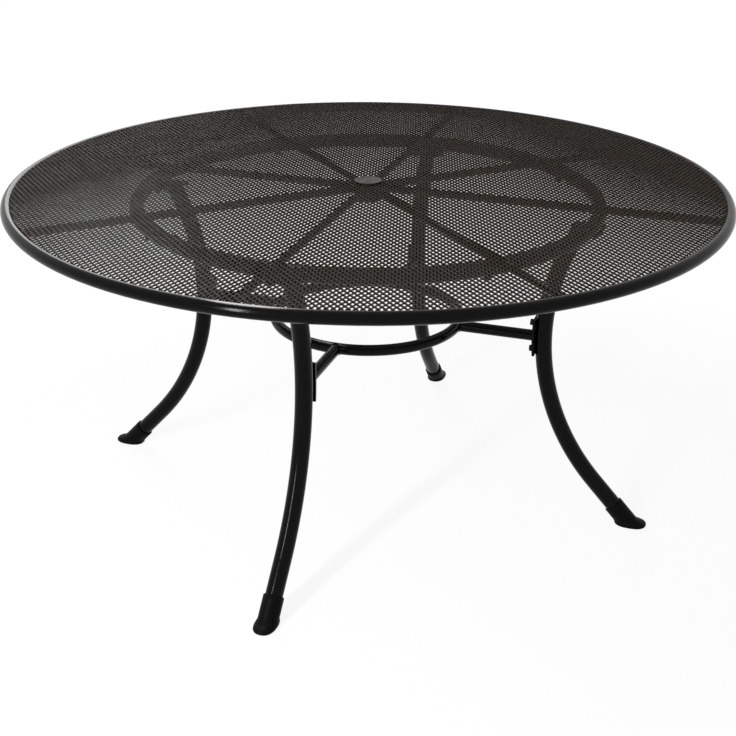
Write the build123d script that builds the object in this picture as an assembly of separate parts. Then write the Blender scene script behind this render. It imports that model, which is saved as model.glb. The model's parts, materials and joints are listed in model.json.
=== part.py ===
from build123d import *
from build123d.topology import SkipClean
import os
from math import asin, ceil, cos, degrees, hypot, radians, sin, sqrt, tan

# Round garden table: a mesh top in a tube rim, on four bowed legs with plastic boots.
# Millimetres. The floor is z = 0, the table's axis is Z, the legs stand on the diagonals of X and Y.
# The tubes are closed at both ends, so they are drawn as solid rods.

# Rim and spokes of the top
top_diameter = 1530.0
top_height = 730.0
rim_tube_diameter = 25.0
spoke_diameter = 16.0

# Mesh sheet: diamonds, longer one way than the other, between a solid edge band and a solid collar
mesh_thickness = 4.4
mesh_short_pitch = 91.0
mesh_long_pitch = 152.0
mesh_strand_width = 5.2
mesh_edge_band = 9.0
mesh_collar_width = 14.0
mesh_turn = -29.0
mesh_fit = 0.3

# Umbrella sleeve and its plug
umbrella_bore_diameter = 50.0
umbrella_bore_length = 24.0
plug_seat_diameter = 53.0
plug_seat_depth = 16.0
sleeve_wall = 2.5
plug_flange_diameter = 60.0
plug_flange_height = 3.0
plug_edge_chamfer = 1.2
plug_spigot_length = 12.0
plug_wall = 2.5
plug_fit = 0.3

# Support ring under the spokes
support_ring_radius = 492.0
support_ring_diameter = 32.0

# Legs: one bow from the top plate down, then a straight end that splays out to the floor
leg_count = 4
spokes_per_leg = 2
first_leg_angle = 45.0
leg_diameter = 36.0
waist_radius = 399.0
waist_height = 432.0
leg_bow_radius = 493.0
leg_splay = 42.8

# Plates on the leg tops
leg_plate_thickness = 5.0
leg_plate_edge = 1.0
leg_plate_corner = 6.0

# Feet
foot_wall = 3.0
foot_sleeve_length = 61.0
foot_sleeve_chamfer = 1.0
foot_sole_length = 70.0
foot_sole_width = 47.0
foot_sole_height = 13.0
foot_sole_round = 6.0
foot_floor_thickness = 6.0
foot_fit = 0.2

# Brace between the legs
brace_height = 424.0
brace_ring_radius = 206.0
brace_ring_diameter = 24.0
strut_diameter = 24.0
strut_plate_thickness = 5.0
strut_plate_width = 36.0
strut_plate_height = 84.0
brace_bolt_pitch = 60.0

# Hexagon bolts with a washer face
bolt_diameter = 8.0
bolt_hole_fit = 0.25
bolt_washer_diameter = 16.0
bolt_washer_thickness = 1.5
bolt_across_flats = 13.0
bolt_head_height = 6.5
bolt_head_spacing = 0.5
bolt_reach = 14.0
bolt_end_room = 1.0

# Gap left for the weld where a round tube meets another piece
weld_gap = 0.1

# Heights of the top's layers, from the rim down
rim_height = top_height - rim_tube_diameter / 2
rim_radius = (top_diameter - rim_tube_diameter) / 2
mesh_base = rim_height + spoke_diameter / 2 + weld_gap
mesh_top = mesh_base + mesh_thickness
spoke_underside = rim_height - spoke_diameter / 2
support_ring_height = spoke_underside - weld_gap - support_ring_diameter / 2
support_ring_underside = support_ring_height - support_ring_diameter / 2
leg_plate_top = support_ring_underside - weld_gap
leg_plate_underside = leg_plate_top - leg_plate_thickness

# Sleeve
sleeve_radius = plug_seat_diameter / 2 + sleeve_wall
sleeve_base = mesh_top - plug_seat_depth - umbrella_bore_length
plug_seat_floor = mesh_top - plug_seat_depth

# The leg's centre line, in the leg's own plane of radius and height
bow_centre_radius = waist_radius + leg_bow_radius
splay = radians(leg_splay)
leg_top_slope = asin((leg_plate_underside - waist_height) / leg_bow_radius)
leg_top_radius = bow_centre_radius - leg_bow_radius * cos(leg_top_slope)
bow_end_radius = bow_centre_radius - leg_bow_radius * cos(splay)
bow_end_height = waist_height - leg_bow_radius * sin(splay)
foot_radius = bow_end_radius + bow_end_height * tan(splay)
leg_end_up = (foot_floor_thickness + leg_diameter / 2 * sin(splay)) / cos(splay)

# Strut plates are bent to the inner side of the leg's bow
strut_plate_back = leg_bow_radius + leg_diameter / 2 + weld_gap
strut_plate_face = strut_plate_back + strut_plate_thickness
brace_slope = asin((brace_height - waist_height) / strut_plate_face)

# Leg top bolts stand on the support ring's circle, one each side of the leg
leg_bolt_side = (leg_diameter + bolt_washer_diameter) / 2 + bolt_head_spacing
leg_bolt_radius = sqrt(support_ring_radius**2 - leg_bolt_side**2)
leg_bolt_length = leg_plate_thickness + bolt_reach
brace_bolt_length = strut_plate_thickness + bolt_reach

# A top bolt runs up through the support ring to the middle of a spoke
top_bolt_seat = support_ring_underside - weld_gap
top_bolt_length = rim_height - top_bolt_seat
top_bolt_place = Plane((support_ring_radius, 0, top_bolt_seat), z_dir=(0, 0, -1))

leg_turns = [first_leg_angle + step * 360 / leg_count for step in range(leg_count)]
spoke_count = leg_count * spokes_per_leg
spoke_turns = [first_leg_angle + step * 360 / spoke_count for step in range(spoke_count)]
free_spoke_turns = [turn for step, turn in enumerate(spoke_turns) if step % spokes_per_leg]
seam_turn = first_leg_angle + 180 / spoke_count


def around(shape, turns):
    """Copies of a shape turned about the table's axis."""
    return [Rot(0, 0, turn) * shape for turn in turns]


def tube_ring(diameter, radius, height):
    """Round tube bent to a ring about the table's axis, in two halves that meet between spokes."""
    section = Plane.XZ * Pos(radius, height) * Circle(diameter / 2)
    half = Rot(0, 0, seam_turn) * revolve(section, Axis.Z, 180)
    with SkipClean():
        return half + Rot(0, 0, 180) * half


def radial_tube(diameter, height, length):
    """Straight tube from the table's axis along X."""
    return extrude(Plane((0, 0, height), z_dir=(1, 0, 0)) * Circle(diameter / 2), length)


def bow_plane(slope, distance):
    """Plane square to the leg's bow, at a slope from the waist and a distance from the bow's centre."""
    inward = (-cos(slope), 0, sin(slope))
    centre = Vector(bow_centre_radius, 0, waist_height)
    return Plane(centre + Vector(inward) * distance, z_dir=inward)


def bolt(shank_length):
    """Bolt with its seat on the XY plane and its head above."""
    head = extrude(RegularPolygon(bolt_across_flats / 2, 6, major_radius=False), bolt_head_height)
    washer = extrude(Circle(bolt_washer_diameter / 2), bolt_washer_thickness)
    shank = extrude(Circle(bolt_diameter / 2), -shank_length)
    return washer + Pos(0, 0, bolt_washer_thickness) * head + shank


def bolt_hole(shank_length):
    """Hole for a bolt's shank, running down from the XY plane with room at its end."""
    return extrude(Circle(bolt_diameter / 2 + bolt_hole_fit), -shank_length - bolt_end_room)


def make_rim_tube():
    return tube_ring(rim_tube_diameter, rim_radius, rim_height)


def make_mesh_sheet():
    """Flat sheet with diamond gaps, whose edge rests in the inner shoulder of the rim tube."""
    shoulder = sqrt((rim_tube_diameter / 2) ** 2 - (mesh_base - rim_height) ** 2)
    sheet_radius = rim_radius - shoulder - mesh_fit
    hole_radius = sleeve_radius + mesh_fit
    narrowing = mesh_strand_width * hypot(mesh_short_pitch, mesh_long_pitch) / 2
    half_short = mesh_short_pitch / 2 - narrowing / mesh_long_pitch
    half_long = mesh_long_pitch / 2 - narrowing / mesh_short_pitch
    diamond = Polygon((half_short, 0), (0, half_long), (-half_short, 0), (0, -half_long), align=None)
    open_area = Circle(sheet_radius - mesh_edge_band) - Circle(hole_radius + mesh_collar_width)
    rows = ceil(top_diameter / mesh_long_pitch)
    columns = ceil(top_diameter / mesh_short_pitch)
    gaps = []
    for row in range(-rows, rows + 1):
        shift = mesh_short_pitch / 2 if row % 2 else 0
        for column in range(-columns, columns + 1):
            place = Pos(column * mesh_short_pitch + shift, row * mesh_long_pitch / 2)
            if place.position.length < sheet_radius + half_long:
                gaps += (open_area & place * diamond).faces()
    wide_gaps = [gap for gap in gaps if gap.area > mesh_strand_width**2]
    sheet = Circle(sheet_radius) - Circle(hole_radius) - wide_gaps
    return Pos(0, 0, mesh_base) * Rot(0, 0, mesh_turn) * extrude(sheet, mesh_thickness)


def make_spoke(bolted):
    """Spoke along X, its ends shaped to the sleeve and the rim tube."""
    spoke = radial_tube(spoke_diameter, rim_height, rim_radius)
    spoke -= Pos(0, 0, rim_height) * Cylinder(sleeve_radius + weld_gap, spoke_diameter)
    spoke -= tube_ring(rim_tube_diameter + 2 * weld_gap, rim_radius, rim_height)
    if bolted:
        spoke -= top_bolt_place * bolt_hole(top_bolt_length)
    return spoke


def make_umbrella_sleeve():
    """Sleeve with a wide seat for the plug above a bore for an umbrella pole."""
    bore = umbrella_bore_diameter / 2
    seat = plug_seat_diameter / 2
    wall = Polyline(
        (bore, sleeve_base),
        (sleeve_radius, sleeve_base),
        (sleeve_radius, mesh_top),
        (seat, mesh_top),
        (seat, plug_seat_floor),
        (bore, plug_seat_floor),
        close=True,
    )
    return revolve(Plane.XZ * make_face(wall), Axis.Z)


def make_umbrella_plug():
    """Flat cap with a chamfered edge and a hollow spigot that drops into the sleeve."""
    flange = plug_flange_diameter / 2
    spigot = plug_seat_diameter / 2 - plug_fit
    hollow = spigot - plug_wall
    cap_top = mesh_top + plug_flange_height
    cap_underside = cap_top - plug_wall
    spigot_end = mesh_top - plug_spigot_length
    outline = Polyline(
        (0, cap_underside),
        (hollow, cap_underside),
        (hollow, spigot_end),
        (spigot, spigot_end),
        (spigot, mesh_top),
        (flange, mesh_top),
        (flange, cap_top - plug_edge_chamfer),
        (flange - plug_edge_chamfer, cap_top),
        (0, cap_top),
        close=True,
    )
    return revolve(Plane.XZ * make_face(outline), Axis.Z)


def make_support_ring():
    """Tube ring with holes for the leg bolts below, and for the top bolts right through."""
    ring = tube_ring(support_ring_diameter, support_ring_radius, support_ring_height)
    holes = around(top_bolt_place * bolt_hole(top_bolt_length), free_spoke_turns)
    for place in leg_bolt_places():
        holes += around(place * bolt_hole(leg_bolt_length), leg_turns)
    with SkipClean():
        return ring - holes


def leg_bolt_places():
    """Seats of the two bolts under the first leg's top plate, heads down."""
    seats = [(leg_bolt_radius, side * leg_bolt_side, leg_plate_underside) for side in (-1, 1)]
    return [Plane(seat, z_dir=(0, 0, -1)) for seat in seats]


def brace_bolt_places():
    """Seats of the two bolts on the first leg's strut plate, heads towards the table's axis."""
    turn = brace_bolt_pitch / 2 / strut_plate_face
    return [bow_plane(brace_slope + side * turn, strut_plate_face) for side in (-1, 1)]


def make_leg():
    """Bowed tube, cut level under its plate, square at the foot, with holes for the brace bolts."""
    over_length = degrees(leg_diameter / leg_bow_radius)
    top_angle = degrees(leg_top_slope) + over_length
    centre = (bow_centre_radius, waist_height)
    bow = CenterArc(centre, leg_bow_radius, 180 - top_angle, top_angle + leg_splay)
    end = (foot_radius - leg_end_up * sin(splay), leg_end_up * cos(splay))
    path = Plane.XZ * (bow + Line((bow_end_radius, bow_end_height), end))
    section = Plane(path @ 0, z_dir=path % 0) * Circle(leg_diameter / 2)
    leg = split(sweep(section, path), Plane.XY.offset(leg_plate_underside), Keep.BOTTOM)
    for place in brace_bolt_places():
        leg -= place * bolt_hole(brace_bolt_length)
    return leg


def make_leg_top_plate():
    """Flat plate that reaches round the leg's top end and under the support ring."""
    leg_half = leg_diameter / 2 / cos(leg_top_slope)
    ring_half = support_ring_diameter / 2
    inner = min(leg_top_radius - leg_half, support_ring_radius - ring_half) - weld_gap
    outer = max(leg_top_radius + leg_half, support_ring_radius + ring_half) + weld_gap
    width = 2 * leg_bolt_side + bolt_washer_diameter + 2 * leg_plate_edge
    outline = RectangleRounded(outer - inner, width, leg_plate_corner)
    plate = Pos((inner + outer) / 2, 0, leg_plate_underside) * extrude(outline, leg_plate_thickness)
    for place in leg_bolt_places():
        plate -= place * bolt_hole(leg_bolt_length)
    return plate


def make_foot():
    """Plastic boot: a sloped sleeve round the leg's end, on an oval sole."""
    sole = extrude(SlotOverall(foot_sole_length, foot_sole_width), foot_sole_height)
    sole = fillet(sole.edges().group_by(Axis.Z)[-1], foot_sole_round)
    bore = leg_diameter / 2 + foot_fit
    along = Plane((0, 0, 0), z_dir=(-sin(splay), 0, cos(splay)))
    sleeve = extrude(Circle(bore + foot_wall), foot_sleeve_length)
    sleeve = chamfer(sleeve.edges().group_by(Axis.Z)[-1], foot_sleeve_chamfer)
    below = extrude(Circle(bore + foot_wall), -foot_sole_length / 2)
    sleeve = split(along * (sleeve + below), Plane.XY, Keep.TOP)
    foot = sole + sleeve - along * Pos(0, 0, leg_end_up) * extrude(Circle(bore), foot_sleeve_length)
    return Pos(foot_radius, 0, 0) * foot


def make_brace_ring():
    return tube_ring(brace_ring_diameter, brace_ring_radius, brace_height)


def make_strut():
    """Strut along X, its ends shaped to the brace ring and the strut plate."""
    strut = radial_tube(strut_diameter, brace_height, waist_radius)
    strut -= tube_ring(brace_ring_diameter + 2 * weld_gap, brace_ring_radius, brace_height)
    bow = Plane((bow_centre_radius, 0, waist_height), z_dir=(0, 1, 0))
    strut -= bow * Cylinder(strut_plate_face + weld_gap, strut_plate_width)
    return strut.solids().sort_by(Axis.X)[-1]


def make_strut_plate():
    """Plate bent to the bow of the leg, with two bolt holes."""
    half = degrees(strut_plate_height / 2 / strut_plate_face)
    start = 180 - degrees(brace_slope) - half
    centre = (bow_centre_radius, waist_height)
    back = CenterArc(centre, strut_plate_back, start, 2 * half)
    face = CenterArc(centre, strut_plate_face, start, 2 * half)
    outline = back + face + Line(back @ 0, face @ 0) + Line(back @ 1, face @ 1)
    plate = extrude(Plane.XZ * make_face(outline), strut_plate_width / 2, both=True)
    for place in brace_bolt_places():
        plate -= place * bolt_hole(brace_bolt_length)
    return plate


def make_bolts(places, shank_length, turns):
    """All bolts that share one place beside each leg."""
    bolts = [place * bolt(shank_length) for place in places]
    return Compound([copy for one in bolts for copy in around(one, turns)])


def number_copies(name, shape, turns):
    """Named copies of a piece about the table's axis."""
    return {f"{name}_{number}": copy for number, copy in enumerate(around(shape, turns), start=1)}


nodes = {
    "rim_tube": make_rim_tube(),
    "mesh_sheet": make_mesh_sheet(),
    "umbrella_sleeve": make_umbrella_sleeve(),
    "umbrella_plug": make_umbrella_plug(),
    "support_ring": make_support_ring(),
    "brace_ring": make_brace_ring(),
    "brace_bolts": make_bolts(brace_bolt_places(), brace_bolt_length, leg_turns),
    "leg_bolts": make_bolts(leg_bolt_places(), leg_bolt_length, leg_turns),
    "top_bolts": make_bolts([top_bolt_place], top_bolt_length, free_spoke_turns),
}
for number, turn in enumerate(spoke_turns, start=1):
    nodes[f"spoke_{number}"] = Rot(0, 0, turn) * make_spoke(turn in free_spoke_turns)
nodes |= number_copies("leg", make_leg(), leg_turns)
nodes |= number_copies("leg_top_plate", make_leg_top_plate(), leg_turns)
nodes |= number_copies("foot", make_foot(), leg_turns)
nodes |= number_copies("strut", make_strut(), leg_turns)
nodes |= number_copies("strut_plate", make_strut_plate(), leg_turns)

os.makedirs("parts", exist_ok=True)
for name, shape in nodes.items():
    export_step(shape, f"parts/{name}.step")
print(f"{len(nodes)} pieces written")
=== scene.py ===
import json
from math import ceil, cos, hypot, pi, radians, sin, sqrt, tan

import bmesh
import bpy
from bpy.props import FloatProperty, FloatVectorProperty, PointerProperty
from mathutils import Matrix, Vector
import numpy as np


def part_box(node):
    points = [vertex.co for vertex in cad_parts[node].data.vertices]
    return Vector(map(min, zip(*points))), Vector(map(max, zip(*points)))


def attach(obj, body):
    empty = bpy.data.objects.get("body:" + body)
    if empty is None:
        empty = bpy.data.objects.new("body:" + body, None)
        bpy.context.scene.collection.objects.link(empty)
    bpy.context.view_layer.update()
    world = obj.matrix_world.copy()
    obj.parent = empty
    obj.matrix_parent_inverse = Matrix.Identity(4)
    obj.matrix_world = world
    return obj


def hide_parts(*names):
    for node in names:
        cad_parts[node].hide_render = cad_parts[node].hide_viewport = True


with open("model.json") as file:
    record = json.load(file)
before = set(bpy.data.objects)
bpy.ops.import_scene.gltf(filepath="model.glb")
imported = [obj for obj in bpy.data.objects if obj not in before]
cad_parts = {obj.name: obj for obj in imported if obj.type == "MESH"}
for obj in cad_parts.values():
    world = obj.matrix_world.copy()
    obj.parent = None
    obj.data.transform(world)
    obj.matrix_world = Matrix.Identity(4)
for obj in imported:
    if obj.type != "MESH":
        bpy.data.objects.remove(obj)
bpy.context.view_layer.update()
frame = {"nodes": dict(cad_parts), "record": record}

bl_info = {
    "name": "Garden table",
    "version": (1, 0, 0),
    "blender": (4, 5, 0),
    "location": "View3D > Sidebar > Garden table",
    "description": "Dresses a round mesh garden table: paint, mesh, boots, plug, bolts, welds and a studio",
    "category": "Object",
}

RING_POINTS = 48
HEX_SIDES = 6
# Rings over a boot's toe: share of the heel's rise, of the toe's way in and of its rise, and of the narrowing
DOME = (
    (0.10, 0.02, 0.17, 0.05),
    (0.30, 0.09, 0.35, 0.20),
    (0.50, 0.24, 0.50, 0.45),
    (0.65, 0.47, 0.64, 0.70),
    (0.76, 0.75, 0.80, 0.90),
    (0.84, 1.00, 1.00, 1.00),
)
# Rings from the toe up to the sleeve: share of the heel's rise, and of the sleeve's length on the toe's side
NECK = ((0.90, 0.14), (0.95, 0.33))
# Plain rings of the sleeve, and the floor of its bore, as shares of the sleeve's length
SLEEVE_RINGS = (0.55, 0.8)
BORE_FLOOR = 0.85
# Where the dome's heel and toe lines meet the sleeve, as shares of the sleeve's length
HEEL_MEETS_SLEEVE = 0.55
TOE_MEETS_SLEEVE = 0.03
# Power of a boot ring's outline: two is an ellipse, more is squarer
ROUND = 2.0
SOLE_SQUARENESS = 2.4
BASE_STEPS = 3
# Turned ends keep a small flat in the middle
TIP_RADIUS = 0.0005
# Range of the noise that makes smoother and rougher patches
PATCH_RANGE = (0.35, 0.65)
STRAND_SIDES = 4
BEAD_SIDES = 10
POINTS_PER_RIPPLE = 5
FEWEST_BEAD_POINTS = 12


def length(name, description, default):
    """A size in metres."""
    return FloatProperty(name=name, description=description, default=default, precision=5,
                         subtype="DISTANCE", unit="LENGTH")


def angle(name, description, degrees):
    """An angle, given in degrees and kept in radians."""
    return FloatProperty(name=name, description=description, default=radians(degrees),
                         subtype="ANGLE", unit="ROTATION")


def amount(name, description, default, top=1.0):
    """A plain number from nought up to a top value."""
    return FloatProperty(name=name, description=description, default=default, min=0.0, max=top,
                         precision=4, subtype="FACTOR")


def colour(name, description, default):
    """A linear colour."""
    return FloatVectorProperty(name=name, description=description, default=default, size=3,
                               min=0.0, max=1.0, precision=4, subtype="COLOR")


def place(name, description, default):
    """A point in the table's frame."""
    return FloatVectorProperty(name=name, description=description, default=default, size=3,
                               subtype="TRANSLATION", unit="LENGTH")


def power(name, description, default):
    """The power of a light, in watts."""
    return FloatProperty(name=name, description=description, default=default, min=0.0, unit="POWER")


class PaintSettings(bpy.types.PropertyGroup):
    """Paints and plastics of the table."""

    frame_colour: colour("Frame", "Powder coat on the tubes and plates", (0.0016, 0.0015, 0.0014))
    mesh_colour: colour("Mesh", "Paint on the expanded mesh", (0.055, 0.041, 0.031))
    bolt_colour: colour("Bolts", "Coating on the bolts", (0.012, 0.0115, 0.011))
    boot_colour: colour("Boots", "Plastic of the boots", (0.0035, 0.0034, 0.0033))
    plug_colour: colour("Plug", "Plastic of the umbrella plug", (0.036, 0.034, 0.032))
    dust_colour: colour("Dust", "Dust settled on faces that look up", (0.060, 0.055, 0.048))
    worn_colour: colour("Worn edge", "Rubbed paint along the edges", (0.030, 0.028, 0.026))
    frame_shine: amount("Frame shine", "Specular level of the powder coat", 0.09)
    mesh_shine: amount("Mesh shine", "Specular level of the mesh paint", 0.20)
    boot_shine: amount("Boot shine", "Specular level of the boots", 0.05)
    plug_shine: amount("Plug shine", "Specular level of the plug", 0.10)


class MeshSettings(bpy.types.PropertyGroup):
    """Expanded mesh of the top."""

    short_pitch: length("Short pitch", "Width of a diamond, knuckle to knuckle", 0.0121)
    long_pitch: length("Long pitch", "Length of a diamond, knuckle to knuckle", 0.0205)
    metal: length("Metal", "Thickness of a strand", 0.0007)
    height: length("Height", "Height of a strand's upright face", 0.0041)
    turn: angle("Turn", "Turn of the diamonds' short way from the X axis", -29.0)
    lean: angle("Lean", "Lean of the strands from upright", 10.0)
    edge_room: length("Edge room", "How far the strands reach onto the rim", 0.0045)


class BootSettings(bpy.types.PropertyGroup):
    """Plastic boots on the leg ends."""

    splay: angle("Splay", "Slope of the leg's end from upright", 42.8)
    sleeve_radius: length("Sleeve radius", "Outer radius of the sleeve", 0.0212)
    sleeve_length: length("Sleeve length", "From the floor up the leg's axis", 0.061)
    bore_radius: length("Bore radius", "Inner radius of the sleeve", 0.0182)
    sole_length: length("Sole length", "Length of the oval sole", 0.070)
    sole_width: length("Sole width", "Width of the oval sole", 0.047)
    base_round: length("Base round", "Round of the sole's lower edge", 0.005)
    lip: length("Lip", "Round of the sleeve's top edge", 0.0011)


class PlugSettings(bpy.types.PropertyGroup):
    """Umbrella plug."""

    edge_round: length("Edge round", "Round of the flange's top edge", 0.0013)
    dish: length("Dish", "Depth of the shallow dish in the top", 0.0005)
    wall: length("Wall", "Wall of the hollow spigot", 0.0025)


class BoltSettings(bpy.types.PropertyGroup):
    """Hexagon bolts with a washer face."""

    across_flats: length("Across flats", "Width of the head", 0.013)
    head_height: length("Head height", "Height of the hexagon", 0.0065)
    washer_radius: length("Washer radius", "Radius of the washer face", 0.008)
    washer_height: length("Washer height", "Thickness of the washer face", 0.0015)
    shank_radius: length("Shank radius", "Radius of the shank", 0.004)
    crown: angle("Crown", "Slope of the chamfer on the head's corners", 30.0)


class WeldSettings(bpy.types.PropertyGroup):
    """Weld beads where tubes meet."""

    radius: length("Bead radius", "Radius of a bead", 0.0022)
    ripple_pitch: length("Ripple pitch", "Distance between the ripples of a bead", 0.0032)
    ripple: amount("Ripple", "Depth of the ripples as a share of the radius", 0.13)
    shortest: length("Shortest seam", "Shorter seams, such as bolt holes, get no bead", 0.040)
    seam_angle: angle("Seam angle", "Least fold of an edge that counts as a seam", 40.0)


class StageSettings(bpy.types.PropertyGroup):
    """Camera, floor and lights."""

    camera_turn: angle("Camera turn", "Direction of the camera from the table", -116.8)
    camera_distance: length("Camera distance", "From the table's axis, along the floor", 2.7124)
    camera_height: length("Camera height", "Above the floor", 1.5109)
    camera_pitch: angle("Camera pitch", "Down from level", 24.214)
    camera_roll: angle("Camera roll", "Turn about the line of sight", 0.39)
    camera_shift: FloatProperty(name="Camera shift", description="Sideways shift of the picture",
                                default=0.00111, precision=5)
    lens: FloatProperty(name="Lens", description="Focal length", default=63.87,
                        subtype="DISTANCE_CAMERA", unit="CAMERA")
    floor_radius: length("Floor radius", "Radius of the floor", 14.0)
    floor_near: amount("Floor near", "Own brightness of the floor beside the table", 0.895)
    floor_start: length("Floor start", "Radius where the floor begins to brighten", 1.0)
    floor_fade: length("Floor fade", "Radius where the floor reaches white", 2.4)
    floor_colour: colour("Floor", "Colour that takes the shadow", (0.21, 0.21, 0.21))
    sky: amount("Sky", "Plain light from all round", 0.18)
    key_low: place("Key low end", "Lower end of the strip light", (-2.87, -1.71, 0.91))
    key_high: place("Key high end", "Upper end of the strip light", (-2.17, -1.16, 2.18))
    key_width: length("Key width", "Width of the strip light", 0.17)
    key_power: power("Key power", "Power of the strip light", 48.0)
    side_place: place("Side light", "Middle of the soft light on the far left", (0.28, 2.66, 1.9))
    side_width: length("Side light width", "Width of the soft light on the far left", 1.4)
    side_power: power("Side light power", "Power of the soft light on the far left", 18.0)
    back_low: place("Back low end", "Lower end of the strip behind the table", (0.20, 1.36, 1.90))
    back_high: place("Back high end", "Upper end of the strip behind the table", (-0.66, 0.40, 2.90))
    back_width: length("Back width", "Width of the strip behind the table", 0.32)
    back_power: power("Back power", "Power of the strip behind the table", 45.0)


class GardenTableSettings(bpy.types.PropertyGroup):
    """All settings of the garden table."""

    paint: PointerProperty(type=PaintSettings)
    mesh: PointerProperty(type=MeshSettings)
    boot: PointerProperty(type=BootSettings)
    plug: PointerProperty(type=PlugSettings)
    bolt: PointerProperty(type=BoltSettings)
    weld: PointerProperty(type=WeldSettings)
    stage: PointerProperty(type=StageSettings)


def add_node(tree, kind, inputs=None, **attributes):
    """Add a shader node; an input is a value or the socket that feeds it."""
    node = tree.nodes.new(kind)
    for name, value in attributes.items():
        setattr(node, name, value)
    for name, value in (inputs or {}).items():
        socket = node.inputs[name]
        if isinstance(value, bpy.types.NodeSocket):
            tree.links.new(value, socket)
        else:
            socket.default_value = value
    return node


def new_group(name, inputs, outputs):
    """Start a shader node group with float sockets; inputs are names with their values."""
    tree = bpy.data.node_groups.new(name, "ShaderNodeTree")
    for socket_name, value in inputs.items():
        socket = tree.interface.new_socket(socket_name, in_out="INPUT", socket_type="NodeSocketFloat")
        socket.default_value = value
    for socket_name in outputs:
        tree.interface.new_socket(socket_name, in_out="OUTPUT", socket_type="NodeSocketFloat")
    return tree, tree.nodes.new("NodeGroupInput"), tree.nodes.new("NodeGroupOutput")


def noise(tree, size, detail=3.0):
    """Noise over the piece with bumps of a size that a socket gives in metres."""
    place_on_piece = add_node(tree, "ShaderNodeTexCoord").outputs["Object"]
    scale = add_node(tree, "ShaderNodeMath", {0: 1.0, 1: size}, operation="DIVIDE").outputs[0]
    texture = add_node(tree, "ShaderNodeTexNoise",
                       {"Vector": place_on_piece, "Scale": scale, "Detail": detail})
    return texture.outputs["Fac"]


def spread(tree, value, low, high, to_low=0.0, to_high=1.0):
    """Map a value's range to another one, held at both ends."""
    node = add_node(tree, "ShaderNodeMapRange", {"Value": value, "From Min": low, "From Max": high,
                                                 "To Min": to_low, "To Max": to_high})
    return node.outputs["Result"]


def times(tree, *values):
    """Multiply values together."""
    product = values[0]
    for value in values[1:]:
        product = add_node(tree, "ShaderNodeMath", {0: product, 1: value}, operation="MULTIPLY").outputs[0]
    return product


def coat_grain_group():
    """Fine ripple of a sprayed coat, and patches that are smoother or rougher."""
    tree, given, out = new_group(
        "Coat grain",
        {"Grain size": 0.0016, "Patch size": 0.05, "Smooth": 0.15, "Rough": 0.3},
        ("Height", "Roughness"))
    height = noise(tree, given.outputs["Grain size"], 2.0)
    patches = noise(tree, given.outputs["Patch size"], 5.0)
    roughness = spread(tree, patches, *PATCH_RANGE, given.outputs["Smooth"], given.outputs["Rough"])
    tree.links.new(height, out.inputs["Height"])
    tree.links.new(roughness, out.inputs["Roughness"])
    return tree


def settled_dust_group():
    """Dust that lies on faces that look up, thicker in patches."""
    tree, given, out = new_group("Settled dust", {"Amount": 0.3, "Patch size": 0.03}, ("Mask",))
    normal = add_node(tree, "ShaderNodeNewGeometry").outputs["Normal"]
    up = add_node(tree, "ShaderNodeSeparateXYZ", {"Vector": normal}).outputs["Z"]
    lying = spread(tree, up, 0.6, 1.0)
    patches = spread(tree, noise(tree, given.outputs["Patch size"], 6.0), 0.4, 0.7)
    tree.links.new(times(tree, lying, patches, given.outputs["Amount"]), out.inputs["Mask"])
    return tree


def edge_wear_group():
    """Paint rubbed thin along outer edges, in broken patches."""
    tree, given, out = new_group(
        "Edge wear", {"Amount": 0.5, "Edge width": 0.001, "Patch size": 0.012}, ("Mask",))
    rounded = add_node(tree, "ShaderNodeBevel", {"Radius": given.outputs["Edge width"]}, samples=4)
    normal = add_node(tree, "ShaderNodeNewGeometry").outputs["Normal"]
    match = add_node(tree, "ShaderNodeVectorMath", {0: rounded.outputs["Normal"], 1: normal},
                     operation="DOT_PRODUCT").outputs["Value"]
    edge = spread(tree, match, 0.98, 0.80)
    patches = spread(tree, noise(tree, given.outputs["Patch size"], 6.0), 0.42, 0.62)
    tree.links.new(times(tree, edge, patches, given.outputs["Amount"]), out.inputs["Mask"])
    return tree


def moulded_grain_group():
    """Fine pebble grain of a moulded plastic, with worn smoother patches."""
    tree, given, out = new_group(
        "Moulded grain",
        {"Grain size": 0.0012, "Patch size": 0.02, "Smooth": 0.4, "Rough": 0.6},
        ("Height", "Roughness"))
    place_on_piece = add_node(tree, "ShaderNodeTexCoord").outputs["Object"]
    scale = add_node(tree, "ShaderNodeMath", {0: 1.0, 1: given.outputs["Grain size"]}, operation="DIVIDE")
    cells = add_node(tree, "ShaderNodeTexVoronoi",
                     {"Vector": place_on_piece, "Scale": scale.outputs[0]}, feature="SMOOTH_F1")
    patches = noise(tree, given.outputs["Patch size"], 5.0)
    roughness = spread(tree, patches, *PATCH_RANGE, given.outputs["Smooth"], given.outputs["Rough"])
    tree.links.new(cells.outputs["Distance"], out.inputs["Height"])
    tree.links.new(roughness, out.inputs["Roughness"])
    return tree


def shared_group(build):
    """The node group that a builder makes, made once."""
    name = build.__doc__
    for tree in bpy.data.node_groups:
        if tree.get("effect") == name:
            return tree
    tree = build()
    tree["effect"] = name
    return tree


def use_group(tree, build, **values):
    """Put a shared effect into a material; its sockets are named with underscores for spaces."""
    node = add_node(tree, "ShaderNodeGroup", node_tree=shared_group(build))
    for name, value in values.items():
        node.inputs[name.replace("_", " ")].default_value = value
    return node


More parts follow.
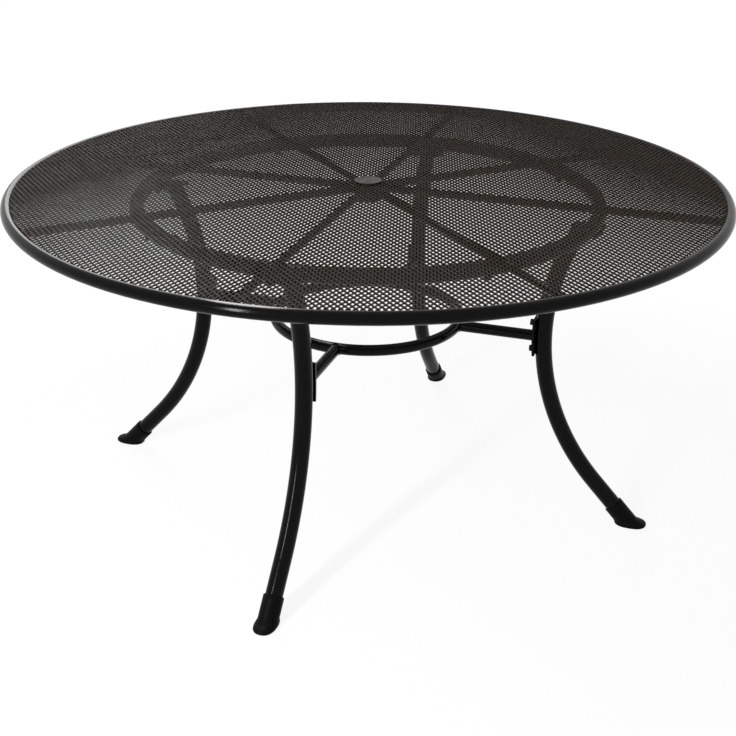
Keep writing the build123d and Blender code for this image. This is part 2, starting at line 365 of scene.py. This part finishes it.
def painted(name, base, shine, grain_values, dust, wear, bump, grain=coat_grain_group):
    """Finish a coated material: colour, roughness, bump and the shader itself."""
    paint = bpy.context.scene.garden_table.paint
    material = bpy.data.materials.new(name)
    material.use_nodes = True
    tree = material.node_tree
    tree.nodes.clear()
    surface = use_group(tree, grain, **grain_values)
    dust_mask = use_group(tree, settled_dust_group, **dust).outputs["Mask"]
    wear_mask = use_group(tree, edge_wear_group, **wear).outputs["Mask"]
    dusty = mix_colour(tree, dust_mask, (*base, 1.0), (*paint.dust_colour, 1.0))
    worn = mix_colour(tree, wear_mask, dusty, (*paint.worn_colour, 1.0))
    normal = add_node(tree, "ShaderNodeBump", {"Strength": bump[0], "Distance": bump[1],
                                               "Height": surface.outputs["Height"]})
    shader = add_node(tree, "ShaderNodeBsdfPrincipled", {
        "Base Color": worn, "Roughness": surface.outputs["Roughness"],
        "Specular IOR Level": shine, "Normal": normal.outputs["Normal"]})
    add_node(tree, "ShaderNodeOutputMaterial", {"Surface": shader.outputs["BSDF"]})
    return material


def mix_colour(tree, factor, first, second):
    """Mix two colours; the mix node's colour sockets are found by their kind."""
    node = add_node(tree, "ShaderNodeMix", data_type="RGBA")
    sockets = [socket for socket in node.inputs if socket.enabled]
    for socket, value in zip(sockets, (factor, first, second)):
        if isinstance(value, bpy.types.NodeSocket):
            tree.links.new(value, socket)
        else:
            socket.default_value = value
    return next(socket for socket in node.outputs if socket.enabled)


def frame_paint():
    """Black powder coat of the tubes and plates."""
    paint = bpy.context.scene.garden_table.paint
    return painted("Frame paint", paint.frame_colour, paint.frame_shine,
                   {"Grain_size": 0.0021, "Patch_size": 0.06, "Smooth": 0.10, "Rough": 0.16},
                   {"Amount": 0.10, "Patch_size": 0.03},
                   {"Amount": 0.6, "Edge_width": 0.0012, "Patch_size": 0.012}, (0.16, 0.0003))


def mesh_paint():
    """Warm black paint of the expanded mesh."""
    paint = bpy.context.scene.garden_table.paint
    return painted("Mesh paint", paint.mesh_colour, paint.mesh_shine,
                   {"Grain_size": 0.0012, "Patch_size": 0.08, "Smooth": 0.34, "Rough": 0.5},
                   {"Amount": 0.5, "Patch_size": 0.05},
                   {"Amount": 0.5, "Edge_width": 0.0004, "Patch_size": 0.02}, (0.2, 0.0002))


def bolt_paint():
    """Dull black coating of the bolts."""
    paint = bpy.context.scene.garden_table.paint
    return painted("Bolt coating", paint.bolt_colour, paint.frame_shine,
                   {"Grain_size": 0.0008, "Patch_size": 0.006, "Smooth": 0.22, "Rough": 0.42},
                   {"Amount": 0.2, "Patch_size": 0.008},
                   {"Amount": 0.9, "Edge_width": 0.0006, "Patch_size": 0.004}, (0.25, 0.0002))


def boot_plastic():
    """Matt black plastic of the boots."""
    paint = bpy.context.scene.garden_table.paint
    return painted("Boot plastic", paint.boot_colour, paint.boot_shine,
                   {"Grain_size": 0.0011, "Patch_size": 0.018, "Smooth": 0.38, "Rough": 0.55},
                   {"Amount": 0.12, "Patch_size": 0.012},
                   {"Amount": 0.5, "Edge_width": 0.0012, "Patch_size": 0.008}, (0.22, 0.0002),
                   moulded_grain_group)


def plug_plastic():
    """Dark grey plastic of the umbrella plug."""
    paint = bpy.context.scene.garden_table.paint
    return painted("Plug plastic", paint.plug_colour, paint.plug_shine,
                   {"Grain_size": 0.0009, "Patch_size": 0.014, "Smooth": 0.45, "Rough": 0.6},
                   {"Amount": 0.3, "Patch_size": 0.01},
                   {"Amount": 0.4, "Edge_width": 0.0008, "Patch_size": 0.006}, (0.15, 0.0001),
                   moulded_grain_group)


def shared_material(build):
    """The material that a builder makes, made once."""
    for material in bpy.data.materials:
        if material.get("finish") == build.__doc__:
            return material
    material = build()
    material["finish"] = build.__doc__
    return material


def add_piece(name, points, faces, material, body="table", smooth_angle=radians(40)):
    """Make a mesh object that rides a body; folds sharper than the angle stay sharp."""
    mesh = bpy.data.meshes.new(name)
    mesh.from_pydata(points, [], faces)
    mesh.materials.append(material)
    mesh.shade_smooth()
    mesh.set_sharp_from_angle(angle=smooth_angle)
    piece = bpy.data.objects.new(name, mesh)
    bpy.context.scene.collection.objects.link(piece)
    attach(piece, body)
    return piece


def skin_rings(rings, close=False):
    """Quads between rings of as many points each; with close, the last ring joins the first."""
    count = len(rings[0])
    points = [point for ring in rings for point in ring]
    faces = []
    steps = len(rings) if close else len(rings) - 1
    for step in range(steps):
        here = step * count
        there = (step + 1) % len(rings) * count
        for side in range(count):
            after = (side + 1) % count
            faces.append((here + side, here + after, there + after, there + side))
    return points, faces


def capped_rings(rings):
    """Closed body through rings of as many points each, with a cap at both ends."""
    points, faces = skin_rings(rings)
    count = len(rings[0])
    faces.append(tuple(reversed(range(count))))
    faces.append(tuple(range(len(points) - count, len(points))))
    return points, faces


def circle_points(radius, height, count):
    """Points spaced evenly round a level circle about the Z axis."""
    return [(radius * cos(2 * pi * step / count), radius * sin(2 * pi * step / count), height)
            for step in range(count)]


def lathe(profile, points_round):
    """Closed turned body along a profile of radius and height."""
    return capped_rings([circle_points(radius, height, points_round) for radius, height in profile])


def rounded_corner(centre, radius, start, end, steps=5):
    """Points of an arc in a profile's plane; angles in degrees from the radius axis."""
    arc = []
    for step in range(steps + 1):
        turn = radians(start + (end - start) * step / steps)
        arc.append((centre[0] + radius * cos(turn), centre[1] + radius * sin(turn)))
    return arc


class GARDEN_TABLE_OT_paint_frame(bpy.types.Operator):
    """Paint the tubes and plates of the frame"""

    bl_idname = "garden_table.paint_frame"
    bl_label = "Paint frame"

    def execute(self, context):
        material = shared_material(frame_paint)
        for node in frame["nodes"].values():
            node.data.materials.clear()
            node.data.materials.append(material)
        return {"FINISHED"}


def strand_runs(sizes, outer, inner):
    """Zigzag centre lines of the strands, cut off at the rim and round the sleeve."""
    half_short = sizes.short_pitch / 2
    half_long = sizes.long_pitch / 2
    reach = sizes.short_pitch / 4
    last_strand = ceil((outer + reach) / half_short)
    last_point = ceil(outer / half_long)
    runs = []
    for strand in range(-last_strand, last_strand + 1):
        corners = []
        for step in range(-last_point, last_point + 1):
            side = 1 if (step + strand) % 2 else -1
            corners.append((strand * half_short + side * reach, step * half_long))
        runs += cut_run(corners, outer, inner)
    return runs


def cut_run(corners, outer, inner):
    """Parts of a line of corners that lie inside the outer circle and outside the inner one."""
    runs = []
    run = []
    for start, end in zip(corners, corners[1:]):
        marks = [0.0, 1.0]
        for radius in (outer, inner):
            marks += circle_crossings(start, end, radius)
        marks.sort()
        for low, high in zip(marks, marks[1:]):
            middle = along_line(start, end, (low + high) / 2)
            if inner < hypot(*middle) < outer:
                if not run:
                    run.append(along_line(start, end, low))
                run.append(along_line(start, end, high))
            elif run:
                runs.append(run)
                run = []
    if run:
        runs.append(run)
    return runs


def along_line(start, end, share):
    """Point at a share of the way from start to end."""
    return (start[0] + (end[0] - start[0]) * share, start[1] + (end[1] - start[1]) * share)


def circle_crossings(start, end, radius):
    """Shares of the way along a line where it crosses a circle about the middle."""
    way = (end[0] - start[0], end[1] - start[1])
    square = way[0] ** 2 + way[1] ** 2
    half = start[0] * way[0] + start[1] * way[1]
    rest = half**2 - square * (start[0] ** 2 + start[1] ** 2 - radius**2)
    if rest <= 0:
        return []
    root = sqrt(rest)
    return [share for share in ((-half - root) / square, (-half + root) / square) if 0 < share < 1]


class GARDEN_TABLE_OT_add_mesh(bpy.types.Operator):
    """Weave the top's expanded mesh out of leaning zigzag strands"""

    bl_idname = "garden_table.add_mesh"
    bl_label = "Add mesh top"

    def execute(self, context):
        sizes = context.scene.garden_table.mesh
        low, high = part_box("mesh_sheet")
        outer = high.x + sizes.edge_room
        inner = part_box("umbrella_sleeve")[1].x
        if high.z - low.z < sizes.height:
            raise RuntimeError("the strands are higher than the sheet is thick")
        middle = high.z - sizes.height / 2
        slant = (sizes.height - sizes.metal * sin(sizes.lean)) / cos(sizes.lean)
        up = (slant / 2 * sin(sizes.lean), slant / 2 * cos(sizes.lean))
        over = (sizes.metal / 2 * cos(sizes.lean), -sizes.metal / 2 * sin(sizes.lean))
        section = [(up[0] + over[0], up[1] + over[1]), (up[0] - over[0], up[1] - over[1]),
                   (-up[0] - over[0], -up[1] - over[1]), (-up[0] + over[0], -up[1] + over[1])]
        reach = max(abs(corner[0]) for corner in section)
        turn_cos, turn_sin = cos(sizes.turn), sin(sizes.turn)
        points = []
        faces = []
        for run in strand_runs(sizes, outer - reach, inner + reach):
            first = len(points)
            for across, along in run:
                for side, rise in section:
                    x = across + side
                    points.append((x * turn_cos - along * turn_sin, x * turn_sin + along * turn_cos,
                                   middle + rise))
            for step in range(len(run) - 1):
                here = first + STRAND_SIDES * step
                there = here + STRAND_SIDES
                for side in range(STRAND_SIDES):
                    after = (side + 1) % STRAND_SIDES
                    faces.append((here + side, there + side, there + after, here + after))
            last = len(points) - STRAND_SIDES
            faces.append((first, first + 1, first + 2, first + 3))
            faces.append((last + 3, last + 2, last + 1, last))
        if not faces:
            raise RuntimeError("the mesh has no strands")
        piece = add_piece("mesh_top", points, faces, shared_material(mesh_paint), smooth_angle=radians(10))
        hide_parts("mesh_sheet")
        return {"FINISHED"}


def boot_stations(sizes):
    """Heel point, toe point, half width and squareness of each ring from the sole up to the lip."""
    half = sizes.sole_length / 2
    wide = sizes.sole_width / 2
    lip = sizes.lip
    radius = sizes.sleeve_radius
    slope_sin, slope_cos = sin(sizes.splay), cos(sizes.splay)

    def on_sleeve(distance, ring_radius=radius):
        centre = (-distance * slope_sin, distance * slope_cos)
        heel = (centre[0] - ring_radius * slope_cos, centre[1] - ring_radius * slope_sin)
        toe = (centre[0] + ring_radius * slope_cos, centre[1] + ring_radius * slope_sin)
        return heel, toe, ring_radius, ROUND

    stations = []
    for step in range(BASE_STEPS + 1):
        turn = radians(90 * step / BASE_STEPS)
        inset = sizes.base_round * (1 - sin(turn))
        rise = sizes.base_round * (1 - cos(turn))
        stations.append(((inset - half, rise), (half - inset, rise), wide - inset, SOLE_SQUARENESS))
    top = sizes.sleeve_length
    heel_top = on_sleeve(HEEL_MEETS_SLEEVE * top)[0]
    sleeve_toe = on_sleeve(TOE_MEETS_SLEEVE * top)[1]
    heel_base = (-half, sizes.base_round)
    toe_base = (half, sizes.base_round)
    for up_heel, toe_in, toe_up, narrow in DOME:
        heel = along_line(heel_base, heel_top, up_heel)
        toe = (along_line(toe_base, sleeve_toe, toe_in)[0], along_line(toe_base, sleeve_toe, toe_up)[1])
        squareness = SOLE_SQUARENESS + (ROUND - SOLE_SQUARENESS) * narrow
        stations.append((heel, toe, wide + (radius - wide) * narrow, squareness))
    for up_heel, up_toe in NECK:
        stations.append((along_line(heel_base, heel_top, up_heel), on_sleeve(up_toe * top)[1], radius, ROUND))
    stations += [on_sleeve(share * top) for share in SLEEVE_RINGS]
    bore = sizes.bore_radius
    lip_corner = 0.3 * lip
    stations += [
        on_sleeve(top - lip),
        on_sleeve(top - lip_corner, radius - lip_corner),
        on_sleeve(top, radius - lip),
        on_sleeve(top, bore + lip_corner),
        on_sleeve(top - lip / 2, bore),
        on_sleeve(BORE_FLOOR * top, bore),
    ]
    return stations


def boot_shape(sizes):
    """Closed boot with its toe along X and its middle over the origin."""
    rings = []
    for heel, toe, wide, square in boot_stations(sizes):
        centre = ((heel[0] + toe[0]) / 2, (heel[1] + toe[1]) / 2)
        reach = ((toe[0] - heel[0]) / 2, (toe[1] - heel[1]) / 2)
        ring = []
        for step in range(RING_POINTS):
            turn = 2 * pi * step / RING_POINTS
            ahead = abs(cos(turn)) ** (2 / square) * (1 if cos(turn) > 0 else -1)
            aside = abs(sin(turn)) ** (2 / square) * (1 if sin(turn) > 0 else -1)
            ring.append((centre[0] + reach[0] * ahead, wide * aside, centre[1] + reach[1] * ahead))
        rings.append(ring)
    return capped_rings(rings)


class GARDEN_TABLE_OT_add_boots(bpy.types.Operator):
    """Put a moulded boot on each leg's end"""

    bl_idname = "garden_table.add_boots"
    bl_label = "Add boots"

    def execute(self, context):
        shape, faces = boot_shape(context.scene.garden_table.boot)
        material = shared_material(boot_plastic)
        feet = [mount for mount in frame["record"]["mounts"] if mount["name"].endswith("_sole")]
        if not feet:
            raise RuntimeError("the frame names no feet")
        for mount in feet:
            node = mount["name"].removesuffix("_sole")
            foot = Vector(mount["pos_m"])
            out = Vector((foot.x, foot.y)).normalized()
            points = [(foot.x + out.x * x - out.y * y, foot.y + out.y * x + out.x * y, foot.z + z)
                      for x, y, z in shape]
            piece = add_piece(node.replace("foot", "boot"), points, faces, material)
            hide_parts(node)
        return {"FINISHED"}


class GARDEN_TABLE_OT_add_plug(bpy.types.Operator):
    """Turn the umbrella plug with its rounded flange and hollow spigot"""

    bl_idname = "garden_table.add_plug"
    bl_label = "Add umbrella plug"

    def execute(self, context):
        sizes = context.scene.garden_table.plug
        low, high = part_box("umbrella_plug")
        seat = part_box("mesh_sheet")[1].z
        flange = high.x
        spigot = plug_spigot_radius()
        round_off = sizes.edge_round
        hollow = spigot - sizes.wall
        lead_in, inner_edge, lower_edge = 0.001, 0.0005, 0.0004
        border, border_edge, dish_edge = 0.0045, 0.0055, 0.0070
        dish_floor = high.z - sizes.dish
        profile = [
            (TIP_RADIUS, seat),
            (hollow - lead_in, seat),
            (hollow, seat - lead_in),
            (hollow, low.z + inner_edge),
            (hollow + inner_edge, low.z),
            (spigot - lead_in, low.z),
            (spigot, low.z + lead_in),
            (spigot, seat),
            (flange - lower_edge, seat),
            (flange, seat + lower_edge),
        ]
        profile += rounded_corner((flange - round_off, high.z - round_off), round_off, 0, 90)
        profile += [
            (flange - border, high.z),
            (flange - border_edge, high.z - 0.4 * sizes.dish),
            (flange - dish_edge, dish_floor),
            (flange / 2, dish_floor),
            (TIP_RADIUS, high.z - 0.8 * sizes.dish),
        ]
        points, faces = lathe(profile, 2 * RING_POINTS)
        piece = add_piece("plug_cap", points, faces, shared_material(plug_plastic), body="plug")
        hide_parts("umbrella_plug")
        return {"FINISHED"}


def plug_spigot_radius():
    """Radius of the plug's spigot, from the lowest ring of the frame's plug."""
    node = frame["nodes"]["umbrella_plug"]
    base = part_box("umbrella_plug")[0].z
    near_base = 0.002
    return max(hypot(vertex.co.x, vertex.co.y) for vertex in node.data.vertices
               if vertex.co.z < base + near_base)


def bolt_shape(sizes, shank):
    """Closed bolt: the washer face stands on z = 0, the head looks up and the shank goes down."""
    washer = sizes.washer_radius
    seat = sizes.washer_height
    top = seat + sizes.head_height
    flat = sizes.across_flats / 2
    crown = 0.94 * flat
    dimple, dimple_floor, dimple_tip, dimple_depth = 0.62 * crown, 0.56 * crown, 0.1 * crown, 0.0003
    shank_edge, washer_lower_edge, washer_upper_edge = 0.0006, 0.0003, 0.0005
    rings = []

    def turned(radius, height):
        rings.append([(radius, height)] * RING_POINTS)

    turned(sizes.shank_radius - shank_edge, -shank)
    turned(sizes.shank_radius, -shank + shank_edge)
    turned(sizes.shank_radius, 0.0)
    turned(washer - washer_lower_edge, 0.0)
    turned(washer, washer_lower_edge)
    turned(washer, seat - washer_upper_edge)
    turned(washer - washer_upper_edge, seat)
    hexagon = []
    chamfer = []
    for step in range(RING_POINTS):
        turn = 2 * pi * step / RING_POINTS
        off_flat = (turn + pi / HEX_SIDES) % (2 * pi / HEX_SIDES) - pi / HEX_SIDES
        radius = flat / cos(off_flat)
        hexagon.append((radius, seat))
        chamfer.append((radius, top - (radius - crown) * tan(sizes.crown)))
    rings += [hexagon, chamfer]
    turned(crown, top)
    turned(dimple, top)
    turned(dimple_floor, top - dimple_depth)
    turned(dimple_tip, top - dimple_depth)
    solid = []
    for ring in rings:
        solid.append([(radius * cos(2 * pi * step / RING_POINTS), radius * sin(2 * pi * step / RING_POINTS),
                       height) for step, (radius, height) in enumerate(ring)])
    return capped_rings(solid)


def merged(node):
    """Copy of a frame piece with the points that lie together joined."""
    work = bmesh.new()
    work.from_mesh(frame["nodes"][node].data)
    bmesh.ops.remove_doubles(work, verts=work.verts, dist=1e-6)
    return work


def loose_parts(work):
    """Points of each separate part of a merged piece."""
    left = set(work.verts)
    parts = []
    while left:
        heap = [left.pop()]
        part = []
        while heap:
            vertex = heap.pop()
            part.append(vertex.co.copy())
            for edge in vertex.link_edges:
                other = edge.other_vert(vertex)
                if other in left:
                    left.remove(other)
                    heap.append(other)
        parts.append(part)
    return parts


def bolt_axis(points):
    """Head end, direction towards the head and length of a bolt, from its points."""
    cloud = np.array([tuple(point) for point in points])
    middle = cloud.mean(axis=0)
    direction = np.linalg.eigh(np.cov((cloud - middle).T))[1][:, -1]
    along = (cloud - middle) @ direction
    off_axis = np.linalg.norm(cloud - middle - np.outer(along, direction), axis=1)
    if off_axis[along > 0].max() < off_axis[along < 0].max():
        direction, along = -direction, -along
    return Vector(middle + direction * along.max()), Vector(direction), float(np.ptp(along))


class GARDEN_TABLE_OT_add_bolts(bpy.types.Operator):
    """Set a chamfered hexagon bolt in the place of each bolt of the frame"""

    bl_idname = "garden_table.add_bolts"
    bl_label = "Add bolts"

    def execute(self, context):
        sizes = context.scene.garden_table.bolt
        material = shared_material(bolt_paint)
        above_seat = sizes.washer_height + sizes.head_height
        for node in ("brace_bolts", "leg_bolts", "top_bolts"):
            work = merged(node)
            parts = loose_parts(work)
            work.free()
            points = []
            faces = []
            for part in parts:
                end, direction, reach = bolt_axis(part)
                seat = end - direction * above_seat
                stand = direction.to_track_quat("Z", "Y").to_matrix()
                shape, quads = bolt_shape(sizes, reach - above_seat)
                first = len(points)
                points += [tuple(seat + stand @ Vector(point)) for point in shape]
                faces += [tuple(first + corner for corner in quad) for quad in quads]
            if not points:
                raise RuntimeError("no bolts in " + node)
            piece = add_piece("hex_" + node, points, faces, material, smooth_angle=radians(28))
            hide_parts(node)
        return {"FINISHED"}


def seam_loops(node, sizes):
    """Closed lines of sharp edges on a frame piece, long ones only."""
    work = merged(node)
    next_to = {}
    for edge in work.edges:
        if len(edge.link_faces) == 2 and edge.calc_face_angle() > sizes.seam_angle:
            first, second = edge.verts
            next_to.setdefault(first, []).append(second)
            next_to.setdefault(second, []).append(first)
    loops = []
    while next_to:
        vertex = next(iter(next_to))
        loop = []
        while vertex is not None:
            loop.append(vertex.co.copy())
            others = next_to.pop(vertex)
            vertex = next((other for other in others if other in next_to), None)
        around = sum((second - first).length for first, second in zip(loop, loop[1:] + loop[:1]))
        if around > sizes.shortest:
            loops.append(loop)
    work.free()
    return loops


def even_points(loop, step):
    """Points spaced evenly round a closed line."""
    closed = loop + loop[:1]
    marks = [0.0]
    for first, second in zip(closed, closed[1:]):
        marks.append(marks[-1] + (second - first).length)
    count = max(int(marks[-1] / step), FEWEST_BEAD_POINTS)
    points = []
    leg = 0
    for index in range(count):
        mark = marks[-1] * index / count
        while marks[leg + 1] < mark:
            leg += 1
        share = (mark - marks[leg]) / max(marks[leg + 1] - marks[leg], 1e-9)
        points.append(closed[leg].lerp(closed[leg + 1], share))
    return points, marks[-1]


def weld_bead(loop, sizes):
    """Rippled bead along a closed seam."""
    points, around = even_points(loop, sizes.ripple_pitch / POINTS_PER_RIPPLE)
    ripples = max(round(around / sizes.ripple_pitch), 1)
    middle = sum(points, Vector()) / len(points)
    rings = []
    for index, point in enumerate(points):
        ahead = (points[(index + 1) % len(points)] - points[index - 1]).normalized()
        outward = point - middle
        outward = (outward - ahead * outward.dot(ahead)).normalized()
        aside = ahead.cross(outward)
        wave = sin(2 * pi * ripples * index / len(points))
        radius = sizes.radius * (1 + sizes.ripple * wave)
        ring = []
        for step in range(BEAD_SIDES):
            turn = 2 * pi * step / BEAD_SIDES
            ring.append(tuple(point + radius * (cos(turn) * outward + sin(turn) * aside)))
        rings.append(ring)
    return skin_rings(rings, close=True)


class GARDEN_TABLE_OT_add_welds(bpy.types.Operator):
    """Run a weld bead round the end of each spoke and strut and under each leg's plate"""

    bl_idname = "garden_table.add_welds"
    bl_label = "Add welds"

    def execute(self, context):
        sizes = context.scene.garden_table.weld
        material = shared_material(frame_paint)
        boot_top = max(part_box(node)[1].z for node in frame["nodes"] if node.startswith("foot_"))
        for kind in ("spoke", "strut", "leg"):
            points = []
            faces = []
            for node in sorted(frame["nodes"]):
                if not node.removeprefix(kind + "_").isdigit():
                    continue
                for loop in seam_loops(node, sizes):
                    if min(point.z for point in loop) < boot_top:
                        continue
                    bead, quads = weld_bead(loop, sizes)
                    first = len(points)
                    points += bead
                    faces += [tuple(first + corner for corner in quad) for quad in quads]
            if not points:
                raise RuntimeError("no seams on any " + kind)
            piece = add_piece(kind + "_welds", points, faces, material, smooth_angle=radians(80))
        return {"FINISHED"}


def add_light(name, size_x, size_y, power, matrix):
    """Rectangular soft light that the camera doesn't see."""
    light = bpy.data.lights.new(name, "AREA")
    light.shape = "RECTANGLE"
    light.size = size_x
    light.size_y = size_y
    light.energy = power
    lamp = bpy.data.objects.new(name, light)
    lamp.matrix_world = matrix
    lamp.visible_camera = False
    bpy.context.scene.collection.objects.link(lamp)
    return lamp


def strip_place(low, high, target):
    """Place of a strip light that runs between two points and faces a third."""
    middle = (low + high) / 2
    along = (high - low).normalized()
    back = middle - target
    back = (back - along * back.dot(along)).normalized()
    return Matrix.Translation(middle) @ Matrix((along.cross(back), along, back)).transposed().to_4x4()


def seen_rays(tree):
    """One for rays that show the background: straight, mirrored and through clear pieces."""
    path = add_node(tree, "ShaderNodeLightPath").outputs
    seen = path["Is Camera Ray"]
    for name in ("Is Glossy Ray", "Is Transmission Ray"):
        seen = add_node(tree, "ShaderNodeMath", {0: seen, 1: path[name]}, operation="MAXIMUM").outputs[0]
    return seen


def floor_material(sizes):
    """Pale floor that reads white and keeps a soft shadow under the table."""
    material = bpy.data.materials.new("Floor")
    material.use_nodes = True
    tree = material.node_tree
    tree.nodes.clear()
    spot = add_node(tree, "ShaderNodeNewGeometry").outputs["Position"]
    away = add_node(tree, "ShaderNodeVectorMath", {0: spot}, operation="LENGTH").outputs["Value"]
    own = spread(tree, away, sizes.floor_start, sizes.floor_fade, sizes.floor_near, 1.0)
    glow = add_node(tree, "ShaderNodeEmission", {"Strength": times(tree, seen_rays(tree), own)})
    dull = add_node(tree, "ShaderNodeBsdfDiffuse", {"Color": (*sizes.floor_colour, 1.0)})
    both = add_node(tree, "ShaderNodeAddShader", {0: glow.outputs[0], 1: dull.outputs[0]})
    add_node(tree, "ShaderNodeOutputMaterial", {"Surface": both.outputs[0]})
    return material


class GARDEN_TABLE_OT_add_stage(bpy.types.Operator):
    """Lay the floor, set the lights and place the camera"""

    bl_idname = "garden_table.add_stage"
    bl_label = "Add stage"

    def execute(self, context):
        scene = context.scene
        sizes = scene.garden_table.stage
        ground = bpy.data.meshes.new("floor")
        edge = circle_points(sizes.floor_radius, 0.0, RING_POINTS)
        ground.from_pydata(edge, [], [tuple(range(RING_POINTS))])
        ground.materials.append(floor_material(sizes))
        carpet = bpy.data.objects.new("floor", ground)
        scene.collection.objects.link(carpet)

        world = bpy.data.worlds.new("Studio")
        world.use_nodes = True
        tree = world.node_tree
        tree.nodes.clear()
        level = spread(tree, seen_rays(tree), 0.0, 1.0, sizes.sky, 1.0)
        sky = add_node(tree, "ShaderNodeBackground", {"Color": (1.0, 1.0, 1.0, 1.0), "Strength": level})
        add_node(tree, "ShaderNodeOutputWorld", {"Surface": sky.outputs[0]})
        scene.world = world

        table_middle = Vector((0, 0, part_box("brace_ring")[0].z))
        top_middle = Vector((0, 0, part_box("rim_tube")[1].z))
        add_light("key_strip", sizes.key_width, (sizes.key_high - sizes.key_low).length, sizes.key_power,
                  strip_place(sizes.key_low, sizes.key_high, table_middle))
        back_strip = add_light("back_strip", sizes.back_width, (sizes.back_high - sizes.back_low).length,
                               sizes.back_power, strip_place(sizes.back_low, sizes.back_high, top_middle))
        # The strip behind shows as a streak on glossy tubes and adds no light to matt faces
        back_strip.visible_diffuse = False
        facing = (sizes.side_place - top_middle).to_track_quat("Z", "Y").to_matrix().to_4x4()
        add_light("side_light", sizes.side_width, sizes.side_width, sizes.side_power,
                  Matrix.Translation(sizes.side_place) @ facing)

        camera = bpy.data.cameras.new("camera")
        camera.lens = sizes.lens
        camera.shift_x = sizes.camera_shift
        camera.clip_end = 2 * sizes.floor_radius
        eye = bpy.data.objects.new("camera", camera)
        toward = Vector((-cos(sizes.camera_turn), -sin(sizes.camera_turn), 0))
        ahead = toward * cos(sizes.camera_pitch) - Vector((0, 0, sin(sizes.camera_pitch)))
        right = ahead.cross(Vector((0, 0, 1))).normalized()
        up = right.cross(ahead)
        right, up = (right * cos(sizes.camera_roll) + up * sin(sizes.camera_roll),
                     up * cos(sizes.camera_roll) - right * sin(sizes.camera_roll))
        spot = -toward * sizes.camera_distance + Vector((0, 0, sizes.camera_height))
        eye.matrix_world = Matrix.Translation(spot) @ Matrix((right, up, -ahead)).transposed().to_4x4()
        scene.collection.objects.link(eye)
        scene.camera = eye
        scene.view_settings.view_transform = "Standard"
        return {"FINISHED"}


STEPS = (
    GARDEN_TABLE_OT_paint_frame,
    GARDEN_TABLE_OT_add_mesh,
    GARDEN_TABLE_OT_add_boots,
    GARDEN_TABLE_OT_add_plug,
    GARDEN_TABLE_OT_add_bolts,
    GARDEN_TABLE_OT_add_welds,
    GARDEN_TABLE_OT_add_stage,
)


class GARDEN_TABLE_PT_steps(bpy.types.Panel):
    """Steps that dress the table, in order"""

    bl_idname = "GARDEN_TABLE_PT_steps"
    bl_label = "Garden table"
    bl_space_type = "VIEW_3D"
    bl_region_type = "UI"
    bl_category = "Garden table"

    def draw(self, context):
        for step in STEPS:
            self.layout.operator(step.bl_idname)


CLASSES = (
    PaintSettings,
    MeshSettings,
    BootSettings,
    PlugSettings,
    BoltSettings,
    WeldSettings,
    StageSettings,
    GardenTableSettings,
    *STEPS,
    GARDEN_TABLE_PT_steps,
)


def register():
    for kind in CLASSES:
        bpy.utils.register_class(kind)
    bpy.types.Scene.garden_table = PointerProperty(type=GardenTableSettings)


def unregister():
    del bpy.types.Scene.garden_table
    for kind in reversed(CLASSES):
        bpy.utils.unregister_class(kind)


def main():
    register()
    bpy.ops.garden_table.paint_frame()
    bpy.ops.garden_table.add_mesh()
    bpy.ops.garden_table.add_boots()
    bpy.ops.garden_table.add_plug()
    bpy.ops.garden_table.add_bolts()
    bpy.ops.garden_table.add_welds()
    bpy.ops.garden_table.add_stage()
    bpy.context.view_layer.update()


if __name__ == "__main__":
    main()
